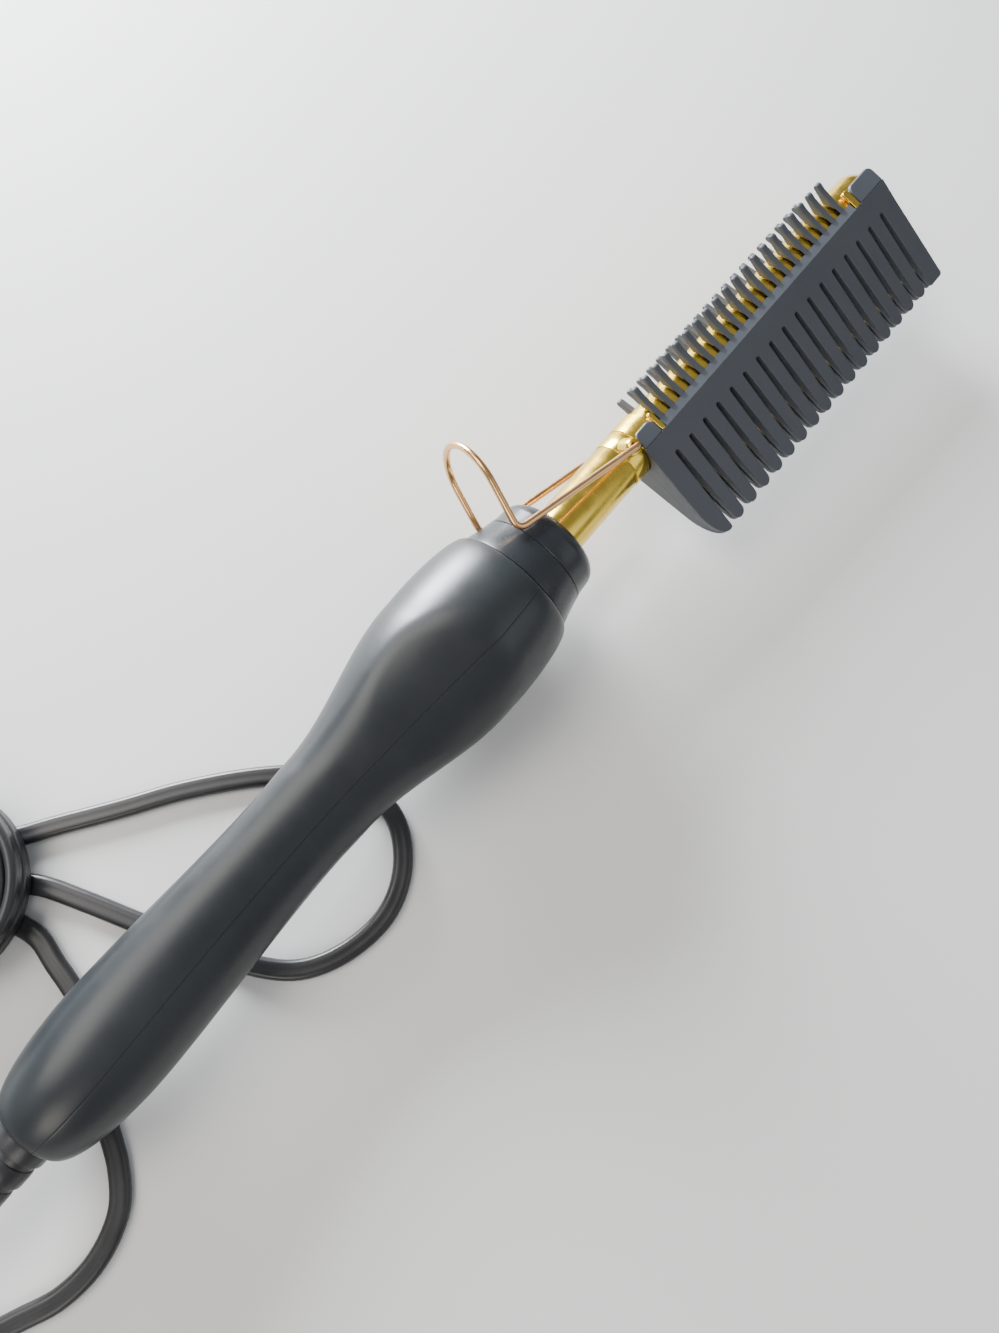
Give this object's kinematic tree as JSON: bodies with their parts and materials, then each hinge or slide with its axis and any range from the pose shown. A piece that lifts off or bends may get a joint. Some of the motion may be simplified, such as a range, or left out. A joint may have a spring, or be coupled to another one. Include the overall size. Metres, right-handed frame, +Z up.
{
  "type": "electric hot comb",
  "caption": "Electric hot comb with a brass comb between two finned guards, a two-shell handle, a folding wire stand and a flat lead with a plug.",
  "frame": {"origin": "on the surface it lies on, below the middle of the comb's outline without its lead", "axes": "+X along the barrel towards the comb's tip, +Y towards the comb's back, +Z up from the surface it lies on"},
  "size_m": [0.354, 0.1205, 0.0375],
  "materials": {
    "handle_plastic": "satin charcoal",
    "collar_plastic": "semi-gloss black",
    "guard_plastic": "matt dark grey",
    "brass": "polished",
    "copper_wire": "bright copper tone",
    "steel": "plain",
    "heat_ceramic": "unglazed",
    "insulation_film": "amber film",
    "sleeving": "woven",
    "cord_rubber": "satin black"
  },
  "bodies": {
    "comb": {"handle_back_shell": "handle_plastic", "handle_front_shell": "handle_plastic", "handle_screws": "steel", "nose_collar": "collar_plastic", "insulating_bush": "heat_ceramic", "retaining_washer": "steel", "barrel_tube": "brass", "stand_bracket": "brass", "comb_spine": "brass", "guard_right": "guard_plastic", "guard_left": "guard_plastic", "heater_core": "heat_ceramic", "heater_sleeve": "insulation_film", "thermal_cutout": "steel", "cord_cores": "cord_rubber", "heater_leads": "steel", "lead_sleeves": "sleeving", "crimp_joints": "steel", "cord_clamp": "handle_plastic", "clamp_screws": "steel", "strain_relief": "cord_rubber", "cord_lead": "cord_rubber", "cord_hank": "cord_rubber", "cord_loop": "cord_rubber", "cord_end": "cord_rubber", "cord_tie": "collar_plastic", "plug_body": "collar_plastic", "plug_pins": "steel"},
    "stand": {"wire_stand": "copper_wire"}
  },
  "joints": [
    {"name": "stand_hinge", "type": "hinge", "parent": "comb", "child": "stand", "pos_m": [0.05768, 0.00207, 0.01963], "axis": [0.0205, 0.4305, -0.9024], "range_deg": [0, 115]}
  ]
}
